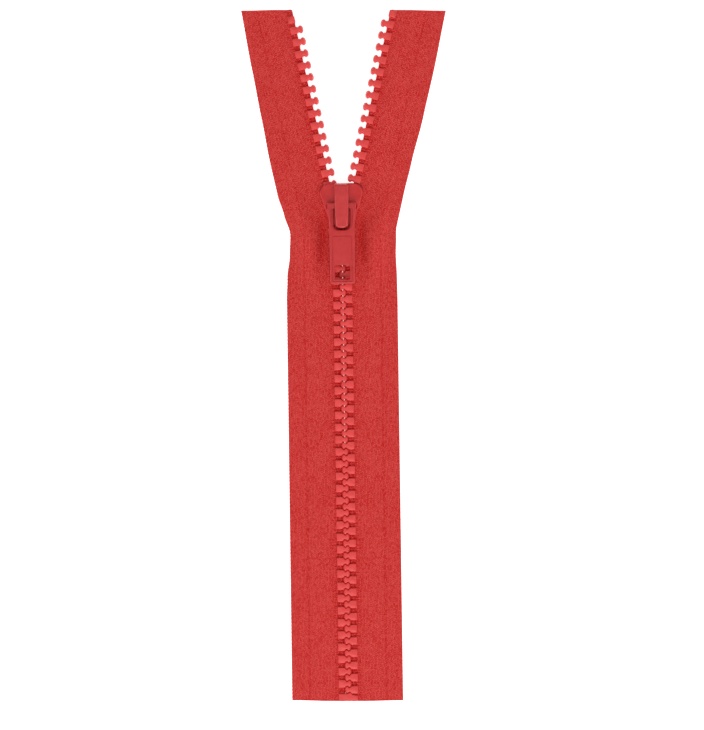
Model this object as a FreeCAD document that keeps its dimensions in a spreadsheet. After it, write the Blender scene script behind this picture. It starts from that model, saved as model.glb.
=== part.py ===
"""Moulded-plastic zipper with an automatic-lock slider, closed up to the slider and open above it.

Frame: +Y runs along the chain towards the open end, +Z points up from the table, X = 0 is the middle
of the closed chain and Z = 0 is the table. Lengths are in millimetres and angles in degrees.
"""
import FreeCAD, Part

import math
import os

import Sketcher

V = FreeCAD.Vector

# Driving dimensions: alias, value and what it measures.
DIMENSIONS = [
    ("half_length", 100.2, "from the origin to each cut end of the tapes, along Y"),
    ("tape_width", 16.0, "from the middle of the chain to a tape's outer edge"),
    ("tape_thick", 0.6, "woven tape"),
    ("tape_bend", 6.6, "where the tape starts to slope down to the table"),
    ("bead_offset", 1.65, "middle of the beaded edge from the middle of the chain"),
    ("bead_radius", 0.62, "beaded edge of the tape"),
    ("core_radius", 0.35, "filler cord inside the bead"),
    ("chain_height", 2.3, "mid plane of the chain above the table"),
    ("fork_place", 38.2, "Y where the two rows part inside the slider"),
    ("fork_radius", 14.0, "bend of each row at the fork"),
    ("left_angle", 11.47, "left arm from the chain"),
    ("right_angle", 12.76, "right arm from the chain"),
    ("pitch", 3.55, "tooth to tooth on one row while closed"),
    ("open_pitch", 3.53, "tooth to tooth on an open arm"),
    ("left_first", -95.55, "Y of the first left tooth"),
    ("right_first", -97.325, "Y of the first right tooth"),
    ("tooth_thick", 2.5, "tooth, along Z"),
    ("block_back", 2.78, "back of a tooth's block"),
    ("block_front", 1.0, "front corners of the block, where the shoulders begin"),
    ("block_half", 1.08, "half of the block along the row"),
    ("neck_back", 0.48, "where the neck ends at the shoulders"),
    ("neck_front", 0.22, "where the neck ends at the head"),
    ("neck_half", 0.5, "half of the neck along the row"),
    ("head_wide", -0.3, "where the head is widest, past the middle of the chain"),
    ("head_half", 0.92, "half of the head along the row"),
    ("head_front", -0.66, "where the head's front corners are"),
    ("head_front_half", 0.66, "half of the head's front face"),
    ("head_tip", -0.82, "foremost point of the head"),
    ("slot_floor", 0.88, "how deep the tooth's slot for the tape goes"),
    ("bottom_stop_start", -100.15, "Y of the bottom stop's outer end"),
    ("bottom_stop_end", -98.55, "Y of the bottom stop's inner end"),
    ("stop_half", 1.05, "half of a top stop along the row"),
    ("stop_front", 0.7, "front face of a top stop"),
    ("slider_front", 49.9, "Y of the slider's mouth end"),
    ("slider_tail", 36.8, "Y of the slider's tail end"),
    ("slider_half", 6.2, "half of the slider's greatest width"),
    ("shoulder_place", 47.1, "Y of the greatest width"),
    ("waist_place", 40.2, "Y where the slider has narrowed"),
    ("waist_half", 4.15, "half width there"),
    ("tail_half", 3.75, "half width at the tail"),
    ("wing_thick", 0.9, "each wing of the slider"),
    ("channel_top", 3.7, "underside of the upper wing"),
    ("slider_top", 4.6, "top of the upper wing"),
    ("slot_low", 1.75, "underside of the side slots for the tapes"),
    ("slot_high", 2.85, "top of the side slots"),
    ("channel_tail_half", 3.1, "half of the channel at the tail"),
    ("channel_mouth_half", 5.4, "half of the channel at the mouth"),
    ("flange_end", 48.4, "Y where the flanges stop"),
    ("channel_start", 39.0, "Y where the channel starts to widen"),
    ("divider_front", 49.2, "Y of the divider's front face"),
    ("divider_half", 1.25, "half of the divider's front face"),
    ("divider_tip", 43.2, "Y of the divider's point"),
    ("cap_width", 3.84, "strap over the slider"),
    ("cap_crown", 8.2, "top of the strap above the table"),
    ("cap_thick", 0.7, "strap's wall"),
    ("pivot_place", 43.6, "Y of the pull tab's cross bar"),
    ("pivot_height", 5.35, "axis of the cross bar above the table"),
    ("bar_radius", 0.65, "cross bar, and half of the tab's thickness"),
    ("tab_end", 20.7, "Y of the tab's free end"),
    ("tab_top_half", 4.15, "half width of the tab at the cross bar"),
    ("tab_mid_half", 3.72, "half width of the tab below its ears"),
    ("tab_end_half", 3.56, "half width of the tab at its free end"),
    ("window_half", 2.45, "half of the window that the strap passes through"),
    ("window_end", 36.25, "Y of the window's lower end"),
    ("eye_half", 2.22, "half width of the square eye"),
    ("eye_low", 21.8, "Y of the eye's lower side"),
    ("eye_high", 26.12, "Y of the eye's upper side"),
    ("panel_half", 2.9, "half width of the sunk panel"),
    ("panel_low", 21.3, "Y of the panel's lower side"),
    ("panel_high", 34.7, "Y of the panel's upper side"),
    ("panel_depth", 0.15, "how far the panel is sunk"),
    ("pawl_half", 1.0, "half width of the locking pawl's strip"),
    ("prong_side", 0.95, "inner side of the pawl's prong"),
    ("prong_width", 0.7, "prong, across the chain"),
    ("prong_tip", 3.1, "point of the prong above the table"),
    ("front_round", 2.7, "round of the slider's shoulders, in plan"),
    ("waist_round", 5.0, "round of the slider's waist, in plan"),
    ("tail_round", 0.9, "round of the slider's tail, in plan"),
    ("wing_round", 0.42, "rounded upper edge of the slider"),
    ("sole_round", 0.3, "rounded lower edge of the slider"),
    ("tooth_round", 0.2, "rounded shoulders and head of a tooth"),
    ("stop_round", 0.4, "rounded front of a top stop"),
    ("cap_foot", 1.2, "thickness of the strap's foot at the tail"),
    ("cap_gap", 0.15, "strap's ends from the ends of the slider"),
    ("cap_slope", 1.7, "length of the strap's bends at both ends"),
    ("cap_drop", 0.5, "how much lower the strap is where it bends down at the mouth"),
    ("cap_round", 0.9, "rounded bends of the strap"),
    ("cap_edge", 0.3, "rounded long edges of the strap"),
    ("ear_length", 3.0, "from the cross bar to where the tab has narrowed"),
    ("ear_round", 3.0, "round where the ears narrow"),
    ("corner_round", 0.35, "corners at the tab's free end"),
    ("rim_round", 0.3, "rounded rim of the tab"),
    ("window_round", 1.7, "lower corners of the tab's window"),
    ("panel_round", 0.5, "upper corners of the sunk panel"),
    ("eye_round", 0.3, "corners of the square eye"),
    ("pawl_thick", 0.35, "spring strip of the pawl"),
    ("pawl_rise", 1.9, "top of the strip above the wing"),
    ("pawl_foot", 0.6, "length of the pawl's foot"),
    ("pawl_start", 2.7, "pawl's foot from the slider's mouth end"),
    ("prong_start", 2.15, "prong from the slider's tail end"),
    ("prong_length", 0.75, "prong, along the chain"),
    ("hole_play", 0.2, "room round the prong in the wing's hole, across the chain"),
    ("hole_stretch", 0.4, "room round the prong in the wing's hole, along the chain"),
    ("foot_play", 0.05, "pawl's foot above the wing"),
    ("bore_play", 0.03, "play of a tooth's bore on the bead"),
    ("stop_setback", 0.35, "how much closer a top stop is than the next tooth would be"),
    ("through", 30.0, "length of a cut that goes right through"),
]

ALIASES = {alias for alias, value, note in DIMENSIONS}
TEETH_IN_GROUP = 10
# How close two places, and two equal lengths, must be to count as the same, in millimetres.
NEAR = 0.02
SAME = 0.001
# Teeth of each row on the closed chain, in the slider's fork and on the open arm.
CLOSED_TEETH = {"left": 38, "right": 38}
FORK_TEETH = {"left": 3, "right": 4}
ARM_TEETH = {"left": 14, "right": 14}

doc = FreeCAD.newDocument("zipper")
sizes = doc.addObject("Spreadsheet::Sheet", "Sizes")
for row, (alias, value, note) in enumerate(DIMENSIONS, start=1):
    sizes.set(f"A{row}", alias)
    sizes.set(f"B{row}", str(value))
    sizes.set(f"C{row}", note)
    sizes.setAlias(f"B{row}", alias)
doc.recompute()


def named(text):
    """Put the sheet's name before each alias in a short expression, whose words have spaces between."""
    return " ".join(f"Sizes.{word}" if word in ALIASES else word for word in text.split())


def size(text):
    """Value of a short expression in the sheet's aliases."""
    return float(sizes.evalExpression(named(text)))


def body(label):
    """A new PartDesign body with the label that names its file."""
    item = doc.addObject("PartDesign::Body", label)
    item.Label = label
    return item


def sketch_on(owner, role, height=None):
    """A sketch on one of the body's origin planes, moved along the plane's normal by a bound height."""
    plane = next(o for o in owner.Origin.OriginFeatures if o.Role == role)
    sketch = owner.newObject("Sketcher::SketchObject", owner.Name + "_sketch")
    sketch.AttachmentSupport = [(plane, "")]
    sketch.MapMode = "FlatFace"
    if height is not None:
        sketch.setExpression("AttachmentOffset.Base.z", named(height))
    return sketch


def outline(sketch, corners):
    """A closed outline of straight lines, each corner held by two bound distances from the origin."""
    points = [V(size(across), size(along), 0) for across, along in corners]
    first = sketch.GeometryCount
    count = len(points)
    for i in range(count):
        sketch.addGeometry(Part.LineSegment(points[i], points[(i + 1) % count]), False)
    for i in range(count):
        line = first + i
        following = first + (i + 1) % count
        sketch.addConstraint(Sketcher.Constraint("Coincident", line, 2, following, 1))
    for i, (across, along) in enumerate(corners):
        for kind, text in (("DistanceX", across), ("DistanceY", along)):
            place = sketch.addConstraint(Sketcher.Constraint(kind, -1, 1, first + i, 1, size(text)))
            sketch.setExpression(f"Constraints[{place}]", named(text))
    return sketch


def circle(sketch, across, along, radius):
    """A full circle with bound centre and radius."""
    centre = V(size(across), size(along), 0)
    ring = sketch.addGeometry(Part.Circle(centre, V(0, 0, 1), size(radius)), False)
    bound = (
        (Sketcher.Constraint("DistanceX", -1, 1, ring, 3, size(across)), across),
        (Sketcher.Constraint("DistanceY", -1, 1, ring, 3, size(along)), along),
        (Sketcher.Constraint("Radius", ring, size(radius)), radius),
    )
    for constraint, text in bound:
        place = sketch.addConstraint(constraint)
        sketch.setExpression(f"Constraints[{place}]", named(text))
    return sketch


def feature(owner, kind, sketch, length, both=False, backwards=False):
    """Pad or pocket a sketch by a bound length, both ways or one way, and check that it did something."""
    doc.recompute()
    before = owner.Shape.Volume if owner.Tip else 0.0
    made = owner.newObject(f"PartDesign::{kind}", f"{owner.Name}_{kind.lower()}")
    made.Profile = sketch
    made.setExpression("Length", named(length))
    made.SideType = "Symmetric" if both else "One side"
    made.Reversed = backwards
    doc.recompute()
    change = owner.Shape.Volume - before
    if (kind == "Pad") != (change > 0) or abs(change) < 1e-6:
        raise ValueError(f"{made.Name} of {owner.Label} changed the volume by {change:.4f}")
    return made


def soften(owner, radius, chosen):
    """Fillet the edges of the body that the chosen test picks."""
    edges = [f"Edge{i}" for i, edge in enumerate(owner.Shape.Edges, start=1) if chosen(edge)]
    if not edges:
        raise ValueError(f"no edge to soften on {owner.Label}")
    base = owner.Tip
    made = owner.newObject("PartDesign::Fillet", f"{owner.Name}_fillet")
    made.Base = (base, edges)
    made.setExpression("Radius", named(radius))
    doc.recompute()
    if "Invalid" in made.State:
        raise ValueError(f"{made.Name} of {owner.Label} failed on {edges}")
    return made


def upright(edge, places):
    """True for an edge along Z at one of the places, each an (x, y) pair."""
    box = edge.BoundBox
    if box.ZLength < NEAR or box.XLength > SAME or box.YLength > SAME:
        return False
    return any(math.hypot(box.XMin - x, box.YMin - y) < NEAR for x, y in places)


def both_sides(places):
    """The places and their mirror images across the chain."""
    return [(side * x, y) for x, y in places for side in (-1, 1)]


def flat_at(edge, height):
    """True for an edge that lies level at the height."""
    box = edge.BoundBox
    return box.ZLength < SAME and abs(box.ZMin - height) < SAME


def set_on_arm(item, side):
    """Stand a sub-part drawn at the fork, with its arm along Y, on the left or right arm."""
    item.setExpression("Placement.Base.y", named("fork_place"))
    if side == "left":
        item.setExpression("Placement.Rotation.Angle", named("left_angle"))
    else:
        item.setExpression("Placement.Rotation.Angle", "-" + named("right_angle"))


def signed(side, text):
    """The expression on the side it belongs to: the left tape is at negative X."""
    return f"-1 * ( {text} )" if side == "left" else text


def tape_section(owner, side, length, height):
    """The woven tape's section, carried along Y: a slab that slopes to the table, with a bead on its edge."""
    def at(text):
        return signed(side, text)

    slab = sketch_on(owner, "XZ_Plane", height)
    outline(slab, [
        (at("bead_offset"), "chain_height - tape_thick / 2"),
        (at("tape_bend"), "chain_height - tape_thick / 2"),
        (at("tape_width"), "0"),
        (at("tape_width"), "tape_thick"),
        (at("tape_bend"), "chain_height + tape_thick / 2"),
        (at("bead_offset"), "chain_height + tape_thick / 2"),
    ])
    feature(owner, "Pad", slab, length, backwards=True)
    bead = sketch_on(owner, "XZ_Plane", height)
    circle(bead, at("bead_offset"), "chain_height", "bead_radius")
    feature(owner, "Pad", bead, length, backwards=True)
    core = sketch_on(owner, "XZ_Plane")
    circle(core, at("bead_offset"), "chain_height", "core_radius")
    bore = owner.newObject("PartDesign::Pocket", owner.Name + "_bore")
    bore.Profile = core
    bore.Type = "ThroughAll"
    bore.SideType = "Symmetric"
    doc.recompute()


def mitre_slope(side):
    """Tangent of half the arm's angle, as the slope of the mitre at the fork."""
    return math.tan(math.radians(size(side + "_angle")) / 2)


def wedge(owner, corners):
    """Cut straight through the body, along Z, inside the corners."""
    cut = sketch_on(owner, "XY_Plane")
    outline(cut, corners)
    feature(owner, "Pocket", cut, "through * 2", both=True)


def tape_lower(side):
    """The tape along the closed chain, mitred at the fork."""
    owner = body(f"{side}_tape_lower")
    tape_section(owner, side, "half_length + fork_place", "half_length")
    slope = f"{mitre_slope(side):.8f}"
    reach = "tape_width * 1.5"
    wedge(owner, [
        ("0", "fork_place"),
        (signed(side, reach), f"fork_place - {reach} * {slope}"),
        (signed(side, reach), "fork_place + tape_width"),
        ("0", "fork_place + tape_width"),
    ])
    return owner


def tape_upper(side):
    """The tape along the open arm, mitred at the fork and cut square to the whole zipper at the top."""
    owner = body(f"{side}_tape_upper")
    tape_section(owner, side, "half_length", "0")
    slope = f"{mitre_slope(side):.8f}"
    reach = "tape_width * 1.5"
    wedge(owner, [
        ("0", "0"),
        (signed(side, reach), f"{reach} * {slope}"),
        (signed(side, reach), "pitch * -2"),
        ("0", "pitch * -2"),
    ])
    angle = math.radians(size(side + "_angle"))
    run = size("half_length - fork_place") / math.cos(angle)
    rise = size(reach) * math.tan(angle)
    wedge(owner, [
        ("0", f"{run:.6f}"),
        (signed(side, reach), f"{run + rise:.6f}"),
        (signed(side, reach), "half_length * 1.2"),
        ("0", "half_length * 1.2"),
    ])
    set_on_arm(owner, side)
    return owner


def core(side, part):
    """The filler cord inside the bead, below or above the fork."""
    owner = doc.addObject("Part::Cylinder", f"{side}_edge_core_{part}")
    owner.Label = owner.Name
    owner.setExpression("Radius", named("core_radius"))
    reach = size("bead_offset + core_radius")
    gap = reach * mitre_slope(side)
    angle = math.radians(size(side + "_angle"))
    if part == "lower":
        start = -size("half_length")
        finish = size("fork_place") - gap
    else:
        start = gap
        inner = size("bead_offset - core_radius")
        finish = size("half_length - fork_place") / math.cos(angle) + inner * math.tan(angle)
    owner.Height = finish - start
    across = size(signed(side, "bead_offset"))
    lying = FreeCAD.Rotation(V(1, 0, 0), -90)
    place = FreeCAD.Placement(V(across, start, size("chain_height")), lying)
    if part == "upper":
        turn = math.degrees(angle) if side == "left" else -math.degrees(angle)
        arm = FreeCAD.Placement(V(0, size("fork_place"), 0), FreeCAD.Rotation(V(0, 0, 1), turn))
        place = arm.multiply(place)
    owner.Placement = place
    return owner


def clamp(owner, side, length):
    """Cut the room for the tape and its bead into a moulded piece, from its back."""
    def at(text):
        return signed(side, text)

    slot = sketch_on(owner, "XZ_Plane")
    outline(slot, [
        (at("slot_floor"), "chain_height - tape_thick / 2"),
        (at("block_back * 1.5"), "chain_height - tape_thick / 2"),
        (at("block_back * 1.5"), "chain_height + tape_thick / 2"),
        (at("slot_floor"), "chain_height + tape_thick / 2"),
    ])
    feature(owner, "Pocket", slot, length, both=True)
    bead = sketch_on(owner, "XZ_Plane")
    circle(bead, at("bead_offset"), "chain_height", "bead_radius + bore_play")
    feature(owner, "Pocket", bead, length, both=True)


def tooth():
    """One moulded tooth of the right row, at the origin: block, shoulders, neck and rounded head."""
    owner = body("tooth")
    half = [
        ("block_back", "block_half"),
        ("block_front", "block_half"),
        ("neck_back", "neck_half"),
        ("neck_front", "neck_half"),
        ("head_wide", "head_half"),
        ("head_front", "head_front_half"),
    ]
    far = [(across, f"-1 * {along}") for across, along in reversed(half)]
    plan = sketch_on(owner, "XY_Plane", "chain_height")
    outline(plan, half + [("head_tip", "0")] + far)
    feature(owner, "Pad", plan, "tooth_thick", both=True)
    soft = [(size(a), s * size(b)) for a, b in (half[1], half[4]) for s in (-1, 1)]
    soften(owner, "tooth_round", lambda edge: upright(edge, soft))
    clamp(owner, "right", "pitch * 2")
    return owner


def row_place(side, travel):
    """Place on a row at a distance along it: the row runs straight to the fork, round an arc and straight."""
    turn = math.radians(size(side + "_angle"))
    radius = size("fork_radius")
    before = size("fork_place") - radius * math.tan(turn / 2)
    sign = 1 if side == "left" else -1
    past = travel - before
    if past <= 0:
        spot, angle = V(0, travel, 0), 0.0
    elif past < radius * turn:
        angle = past / radius
        spot = V(-sign * radius * (1 - math.cos(angle)), before + radius * math.sin(angle), 0)
    else:
        angle = turn
        out = past - radius * turn
        spot = V(
            -sign * (radius * (1 - math.cos(turn)) + out * math.sin(turn)),
            before + radius * math.sin(turn) + out * math.cos(turn),
            0,
        )
    half_turn = 180 if side == "left" else 0
    return FreeCAD.Placement(spot, FreeCAD.Rotation(V(0, 0, 1), sign * math.degrees(angle) + half_turn))


def row_travel(side, number):
    """Distance along the row of a tooth counted from the bottom, by the closed and then the open pitch."""
    closed = CLOSED_TEETH[side]
    first = size(side + "_first")
    if number < closed:
        return first + number * size("pitch")
    return first + (closed - 1) * size("pitch") + (number - closed + 1) * size("open_pitch")


def teeth(label, side, numbers, pattern):
    """A group of separate teeth, each a copy of the pattern set on its row."""
    copies = []
    for number in numbers:
        copy = pattern.Shape.copy()
        copy.Placement = row_place(side, row_travel(side, number)).multiply(copy.Placement)
        copies.append(copy)
    group = doc.addObject("Part::Feature", label)
    group.Label = label
    group.Shape = Part.makeCompound(copies)
    return group


def tooth_groups(side, pattern):
    """All the teeth of one row: groups on the closed chain, those in the fork and those on the arm."""
    closed = CLOSED_TEETH[side]
    mouth = closed + FORK_TEETH[side]
    last = mouth + ARM_TEETH[side]
    middle = (mouth + last) // 2
    groups = []
    for index, start in enumerate(range(0, closed, TEETH_IN_GROUP), start=1):
        numbers = range(start, min(start + TEETH_IN_GROUP, closed))
        groups.append(teeth(f"{side}_teeth_lower_{index}", side, numbers, pattern))
    groups.append(teeth(f"{side}_teeth_fork", side, range(closed, mouth), pattern))
    groups.append(teeth(f"{side}_teeth_upper_1", side, range(mouth, middle), pattern))
    groups.append(teeth(f"{side}_teeth_upper_2", side, range(middle, last), pattern))
    return groups


def top_stop(side):
    """A plain moulded block on the bead, the last thing on each arm, which keeps the slider on."""
    owner = body(f"{side}_top_stop")
    plan = sketch_on(owner, "XY_Plane", "chain_height")
    outline(plan, [
        ("block_back", "-1 * stop_half"),
        ("block_back", "stop_half"),
        ("stop_front", "stop_half"),
        ("stop_front", "-1 * stop_half"),
    ])
    feature(owner, "Pad", plan, "tooth_thick", both=True)
    places = [(size("stop_front"), s * size("stop_half")) for s in (-1, 1)]
    soften(owner, "stop_round", lambda edge: upright(edge, places))
    clamp(owner, "right", "pitch * 2")
    teeth_below = CLOSED_TEETH[side] + FORK_TEETH[side] + ARM_TEETH[side]
    owner.Placement = row_place(side, row_travel(side, teeth_below) - size("stop_setback"))
    return owner


def bottom_stop():
    """The moulded block across both beads at the bottom end, which joins the tapes."""
    owner = body("bottom_stop")
    plan = sketch_on(owner, "XY_Plane", "chain_height")
    outline(plan, [
        ("-1 * block_back", "bottom_stop_start"),
        ("block_back", "bottom_stop_start"),
        ("block_back", "bottom_stop_end"),
        ("-1 * block_back", "bottom_stop_end"),
    ])
    feature(owner, "Pad", plan, "tooth_thick", both=True)
    for side in ("left", "right"):
        clamp(owner, side, "half_length * 3")
    return owner


def slider_outline():
    """Corners of the slider's wings, right half from the front to the tail and back up the left."""
    right = [
        ("slider_half", "slider_front"),
        ("slider_half", "shoulder_place"),
        ("waist_half", "waist_place"),
        ("tail_half", "slider_tail"),
    ]
    left = [(f"-1 * {across}", along) for across, along in reversed(right)]
    return right + left


def divider_outline():
    """Corners of the divider that parts the rows."""
    return [
        ("divider_half", "divider_front"),
        ("0", "divider_tip"),
        ("-1 * divider_half", "divider_front"),
    ]


def slider_body():
    """Two wings joined by the divider, with flanges that guide the rows and slots that let the tapes out."""
    owner = body("slider_body")
    wings = sketch_on(owner, "XY_Plane")
    outline(wings, slider_outline())
    feature(owner, "Pad", wings, "slider_top")
    front = both_sides([(size("slider_half"), size("slider_front"))])
    soften(owner, "front_round", lambda edge: upright(edge, front))
    tail = both_sides([(size("tail_half"), size("slider_tail"))])
    soften(owner, "tail_round", lambda edge: upright(edge, tail))
    bends = both_sides([(size("waist_half"), size("waist_place"))])
    soften(owner, "waist_round", lambda edge: upright(edge, bends))
    soften(owner, "wing_round", lambda edge: flat_at(edge, size("slider_top")))
    soften(owner, "sole_round", lambda edge: flat_at(edge, 0.0))
    channel = sketch_on(owner, "XY_Plane", "channel_top")
    right = [
        ("slider_half + 1", "slider_front + 1"),
        ("slider_half + 1", "flange_end"),
        ("channel_mouth_half", "flange_end"),
        ("channel_tail_half", "channel_start"),
        ("channel_tail_half", "slider_tail - 1"),
    ]
    left = [(f"-1 * ( {across} )", along) for across, along in reversed(right)]
    outline(channel, right + left)
    outline(channel, divider_outline())
    feature(owner, "Pocket", channel, "channel_top - wing_thick")
    slots = sketch_on(owner, "XY_Plane", "slot_high")
    outline(slots, [
        ("slider_half * 2", "slider_front + 1"),
        ("slider_half * 2", "slider_tail - 1"),
        ("slider_half * -2", "slider_tail - 1"),
        ("slider_half * -2", "slider_front + 1"),
    ])
    outline(slots, divider_outline())
    feature(owner, "Pocket", slots, "slot_high - slot_low")
    hole = sketch_on(owner, "XY_Plane", "slider_top + 1")
    outline(hole, [
        ("prong_side - hole_play", "slider_tail + prong_start - hole_stretch"),
        ("prong_side + prong_width + hole_play", "slider_tail + prong_start - hole_stretch"),
        ("prong_side + prong_width + hole_play", "slider_tail + prong_start + prong_length + hole_stretch"),
        ("prong_side - hole_play", "slider_tail + prong_start + prong_length + hole_stretch"),
    ])
    feature(owner, "Pocket", hole, "wing_thick + 1")
    return owner


def slider_cap():
    """The strap over the slider, bent into an arch that the pull tab's cross bar turns under."""
    owner = body("slider_cap")
    side_view = sketch_on(owner, "YZ_Plane")
    outline(side_view, [
        ("slider_front - cap_gap", "slider_top"),
        ("slider_front - cap_gap", "slider_top + cap_foot"),
        ("slider_front - cap_slope", "cap_crown - cap_drop"),
        ("pivot_place + cap_foot", "cap_crown"),
        ("slider_tail + cap_slope", "cap_crown"),
        ("slider_tail + cap_gap", "cap_crown - cap_slope"),
        ("slider_tail + cap_gap", "slider_top"),
        ("slider_tail + cap_gap + cap_foot", "slider_top"),
        ("slider_tail + cap_gap + cap_foot", "cap_crown - cap_thick - cap_drop"),
        ("slider_tail + cap_gap + cap_foot + cap_drop", "cap_crown - cap_thick"),
        ("pivot_place + cap_foot", "cap_crown - cap_thick"),
        ("slider_front - cap_slope - cap_round", "cap_crown - cap_thick - cap_drop"),
        ("slider_front - cap_slope - cap_gap", "slider_top"),
    ])
    feature(owner, "Pad", side_view, "cap_width", both=True)

    def across_at(edge, ends):
        box = edge.BoundBox
        if box.XLength < size("cap_width") - SAME or box.YLength > SAME or box.ZLength > SAME:
            return False
        return any(math.hypot(box.YMin - y, box.ZMin - z) < NEAR for y, z in ends)

    ends = [
        (size("slider_front - cap_gap"), size("slider_top + cap_foot")),
        (size("slider_front - cap_slope"), size("cap_crown - cap_drop")),
        (size("slider_tail + cap_slope"), size("cap_crown")),
        (size("slider_tail + cap_gap"), size("cap_crown - cap_slope")),
    ]
    soften(owner, "cap_round", lambda edge: across_at(edge, ends))

    def rim(edge):
        box = edge.BoundBox
        side = abs(abs(box.XMin) - size("cap_width / 2")) < NEAR and box.XLength < SAME
        middle = edge.valueAt((edge.FirstParameter + edge.LastParameter) / 2)
        foot = middle.z < size("slider_top + cap_edge")
        roof = middle.z > size("cap_crown - cap_thick") + NEAR
        mouth = middle.y > size("slider_front - cap_slope")
        tail = middle.y < size("slider_tail + cap_foot")
        return side and not foot and (roof or mouth or tail)

    soften(owner, "cap_edge", rim)
    return owner


def locking_pawl():
    """The spring strip under the cap: a foot on the wing, the strip over the cross bar and a prong."""
    owner = body("locking_pawl")
    side_view = sketch_on(owner, "YZ_Plane")
    outline(side_view, [
        ("slider_front - pawl_start", "slider_top + foot_play"),
        ("slider_front - pawl_start", "slider_top + pawl_rise"),
        ("slider_tail + prong_start", "slider_top + pawl_rise"),
        ("slider_tail + prong_start", "slider_top + pawl_rise - pawl_thick"),
        ("slider_front - pawl_start - pawl_foot", "slider_top + pawl_rise - pawl_thick"),
        ("slider_front - pawl_start - pawl_foot", "slider_top + foot_play"),
    ])
    feature(owner, "Pad", side_view, "pawl_half * 2", both=True)
    prong = sketch_on(owner, "YZ_Plane", "prong_side")
    outline(prong, [
        ("slider_tail + prong_start", "prong_tip"),
        ("slider_tail + prong_start + prong_length", "prong_tip"),
        ("slider_tail + prong_start + prong_length", "slider_top + pawl_rise"),
        ("slider_tail + prong_start", "slider_top + pawl_rise"),
    ])
    feature(owner, "Pad", prong, "prong_width")
    return owner


def pull_tab():
    """The flat tab: ears on a round cross bar, a window for the strap, a sunk panel and a square eye."""
    owner = body("pull_tab")
    plate = sketch_on(owner, "XY_Plane", "pivot_height")
    right = [
        ("tab_top_half", "pivot_place"),
        ("tab_top_half", "pivot_place - bar_radius"),
        ("tab_mid_half", "pivot_place - ear_length"),
        ("tab_end_half", "tab_end"),
    ]
    left = [(f"-1 * {across}", along) for across, along in reversed(right)]
    outline(plate, right + left)
    feature(owner, "Pad", plate, "bar_radius * 2", both=True)
    corners = both_sides([(size("tab_end_half"), size("tab_end"))])
    soften(owner, "corner_round", lambda edge: upright(edge, corners))
    ears = both_sides([(size("tab_mid_half"), size("pivot_place - ear_length"))])
    soften(owner, "ear_round", lambda edge: upright(edge, ears))

    def long_rim(edge):
        box = edge.BoundBox
        level = any(flat_at(edge, size(f"pivot_height {sign} bar_radius")) for sign in ("+", "-"))
        at_bar = box.YLength < SAME and box.YMax > size("pivot_place") - NEAR
        return level and not at_bar

    soften(owner, "rim_round", long_rim)
    window = sketch_on(owner, "XY_Plane")
    outline(window, [
        ("window_half", "pivot_place"),
        ("window_half", "window_end"),
        ("-1 * window_half", "window_end"),
        ("-1 * window_half", "pivot_place"),
    ])
    feature(owner, "Pocket", window, "through", both=True)
    foot = both_sides([(size("window_half"), size("window_end"))])
    soften(owner, "window_round", lambda edge: upright(edge, foot))
    bar = sketch_on(owner, "YZ_Plane")
    circle(bar, "pivot_place", "pivot_height", "bar_radius")
    feature(owner, "Pad", bar, "tab_top_half * 2", both=True)
    panel = sketch_on(owner, "XY_Plane", "pivot_height + bar_radius")
    outline(panel, [
        ("panel_half", "panel_low"),
        ("panel_half", "panel_high"),
        ("-1 * panel_half", "panel_high"),
        ("-1 * panel_half", "panel_low"),
    ])
    feature(owner, "Pocket", panel, "panel_depth")
    shoulders = both_sides([(size("panel_half"), size("panel_high"))])
    soften(owner, "panel_round", lambda edge: upright(edge, shoulders))
    eye = sketch_on(owner, "XY_Plane")
    outline(eye, [
        ("eye_half", "eye_low"),
        ("eye_half", "eye_high"),
        ("-1 * eye_half", "eye_high"),
        ("-1 * eye_half", "eye_low"),
    ])
    feature(owner, "Pocket", eye, "through", both=True)
    square = both_sides([(size("eye_half"), size(y)) for y in ("eye_low", "eye_high")])
    soften(owner, "eye_round", lambda edge: upright(edge, square))
    return owner


def build():
    """Make every sub-part and return those that are written to files."""
    pattern = tooth()
    parts = [bottom_stop()]
    for side in ("left", "right"):
        parts += [tape_lower(side), tape_upper(side), core(side, "lower"), core(side, "upper")]
        parts += tooth_groups(side, pattern)
        parts.append(top_stop(side))
    parts += [slider_body(), slider_cap(), locking_pawl(), pull_tab()]
    doc.recompute()
    return parts


def check(parts):
    """Stop if the document has a failed object or a sub-part without a sound solid."""
    for item in doc.Objects:
        if "Invalid" in item.State or "Error" in item.State:
            raise ValueError(f"{item.Label} is in state {item.State}")
    for item in parts:
        if item.Shape.isNull() or not item.Shape.isValid() or not item.Shape.Solids:
            raise ValueError(f"{item.Label} has no sound solid")


def write(parts):
    """Write each sub-part to its own file, named by its label."""
    os.makedirs("parts", exist_ok=True)
    for item in parts:
        item.Shape.exportStep(f"parts/{item.Label}.step")
        box = item.Shape.BoundBox
        lengths = f"{box.XLength:.2f} x {box.YLength:.2f} x {box.ZLength:.2f}"
        print(f"{item.Label}: {len(item.Shape.Solids)} solids, {item.Shape.Volume:.2f} mm3, {lengths} mm")


finished = build()
check(finished)
write(finished)
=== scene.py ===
"""Looks of the moulded-plastic zipper: woven tapes, moulded teeth and stops, and an enamelled slider.

Lengths are in millimetres and turned to metres where a mesh is made. +Y runs along the chain to its open end,
+Z points up from the table, X = 0 is the middle of the closed chain.
"""

import math

import bmesh
import bpy
import numpy as np
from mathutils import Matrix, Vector
from mathutils.geometry import tessellate_polygon


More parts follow.
